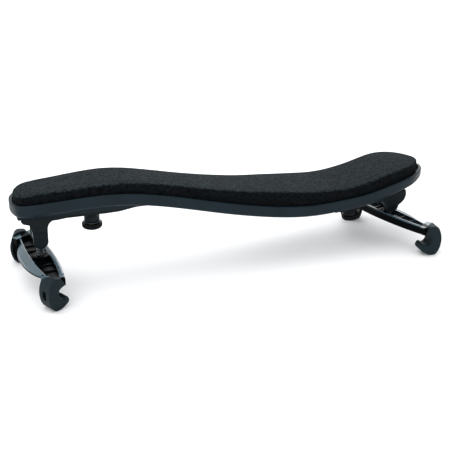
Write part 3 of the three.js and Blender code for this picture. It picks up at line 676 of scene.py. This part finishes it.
    # upper faces get a lighter blue-grey copy of the plastic, a painted highlight for the light they catch; the well
    # and the sides are polished black
    back = (Matrix.Translation(Vector(SHIFT)) @ fm).inverted()
    turn3 = back.to_3x3()
    idx = []
    for p in fork.data.polygons:
        c, n = back @ p.center, turn3 @ p.normal
        outer, wall = c.x > rim(c.y) - 1.15, c.x < -6.6 + 2.6 * (c.y / 31) ** 2 + 2.75
        idx.append(1 if n.z > 0.3 and abs(c.y) < 33.5 and ((outer and c.z > 12.9) or (wall and c.z > 16.2)) else 0)
    fork.data.polygons.foreach_set("material_index", idx)
    finish_piece(fork, f"{side}_fork_visual", f"{side}_fork_turn", [M_FORK, M_FORK_PAINTED_HIGHLIGHT], [f"{side}_fork"], shifted=False)

    # rubber boots over the claw cores, each drawn about its own middle and then toed in
    prof = resample(np.vstack([catmull(BOOT, 12), catmull(BOOT, 12)[:1]]), 141)[:-1]
    prof[:, 1] = np.maximum(prof[:, 1], 0.0)
    pocket = inset(np.array(CORE), -GAP)
    hw = CLAW_HALF
    for sgn, tag in ((-1, "front"), (1, "rear")):
        rings = []
        for d, v in ((0.6, -hw), (0.18, -hw + 0.18), (0.0, -hw + 0.6), (0.0, hw - 0.6), (0.18, hw - 0.18), (0.6, hw)):
            p = inset(prof, d)
            rings.append([(u, v, z) for u, z in p])
        n = len(prof)
        verts = [p for r in rings for p in r]
        faces = [(r * n + i, r * n + (i + 1) % n, (r + 1) * n + (i + 1) % n, (r + 1) * n + i) for r in range(5) for i in range(n)]
        faces += [tuple(range(n)), tuple(range(6 * n - 1, 5 * n - 1, -1))]
        boot = outward(new_object("tmp", verts, faces))
        pts = [(1.5 * math.cos(a), 9.9 + 1.35 * math.sin(a)) for a in np.linspace(0, math.pi, 12)]
        pts += [(1.5 * math.cos(a), 7.3 + 1.35 * math.sin(a)) for a in np.linspace(math.pi, 2 * math.pi, 12)]
        v = [(6.2, p, q) for p, q in pts] + [(11, p, q) for p, q in pts]
        c = len(pts)
        slot = outward(new_object("tmp", v, [tuple(range(c)), tuple(range(2 * c - 1, c - 1, -1))]
                                  + [(i, i + c, (i + 1) % c + c, (i + 1) % c) for i in range(c)]))
        v0, v1 = sorted((-sgn * 7.8, sgn * (hw - 1.2)))
        cut(boot, prism(pocket, v0, v1), slot)
        toe = (Matrix.Translation((CLAW_U, sgn * CLAW_Y, 0)) @ Matrix.Rotation(sgn * math.radians(CLAW_FAN), 4, "Z")
               @ Matrix.Translation((-3.3, 0, 0)))
        transform(boot, toe)
        cut(boot, prism([(u, sgn * y) for u, y in COLLAR], COLLAR_Z, 20, "xy"))
        transform(boot, fm)
        soften(boot, 0.17, 2)
        finish_piece(boot, f"{side}_claw_boot_{tag}_visual", f"{side}_fork_turn", M_BOOT, [f"{side}_claw_boot_{tag}"])


# ---------------------------------------------------------------- the stage
def build_stage():
    sc = bpy.context.scene
    cam = bpy.data.cameras.new("camera")
    cam.lens, cam.sensor_width, cam.sensor_fit = 1030.4 / 450 * 36, 36.0, "HORIZONTAL"
    cam.clip_start, cam.clip_end = 0.02, 20
    co = bpy.data.objects.new("camera", cam)
    sc.collection.objects.link(co)
    pos = (Vector((-161.4, -513.0, 248.8)) + Vector(SHIFT)) * 0.001
    fwd = Vector((0.2842, 0.8755, -0.3907)).normalized()
    co.location = pos
    co.rotation_euler = fwd.to_track_quat("-Z", "Y").to_euler()
    sc.camera = co
    bpy.ops.mesh.primitive_plane_add(size=8, location=(0, 0, -0.00006))
    floor = bpy.context.object
    floor.name = "floor"
    m, nt, b = nodes_of("floor_paint")
    n = tex(nt, "ShaderNodeTexNoise", 3, 2.0)
    nt.links.new(ramp(nt, n.outputs["Fac"], [(0.3, grey(0.91)), (0.7, grey(0.93))]), b.inputs["Base Color"])
    b.inputs["Roughness"].default_value = 0.8
    b.inputs["Specular IOR Level"].default_value = 0.1
    floor.data.materials.append(m)
    w = bpy.data.worlds.new("world")
    sc.world = w
    w.use_nodes = True
    w.node_tree.nodes["Background"].inputs["Color"].default_value = (0.97, 0.985, 1.0, 1)
    w.node_tree.nodes["Background"].inputs["Strength"].default_value = 1.2

    def area(name, loc, target, size, power, colour=(1, 1, 1)):
        li = bpy.data.lights.new(name, "AREA")
        li.shape, li.size, li.energy, li.color = "SQUARE", size, power, colour
        o = bpy.data.objects.new(name, li)
        o.location = loc
        o.rotation_euler = (Vector(target) - Vector(loc)).to_track_quat("-Z", "Y").to_euler()
        sc.collection.objects.link(o)
    area("key", (-0.35, 0.25, 1.0), (0, 0, 0.03), 0.9, 4.0)
    area("back", (0.5, 1.1, 0.55), (0, 0, 0.03), 0.8, 6.0)
    area("fill", (-0.7, -0.8, 0.5), (0, 0, 0.03), 0.6, 1.5)
    sc.view_settings.view_transform = "Standard"
    sc.view_settings.look = "None"


build_foam()
build_shell()
for side in SIDES:
    build_leg(side)
build_stage()
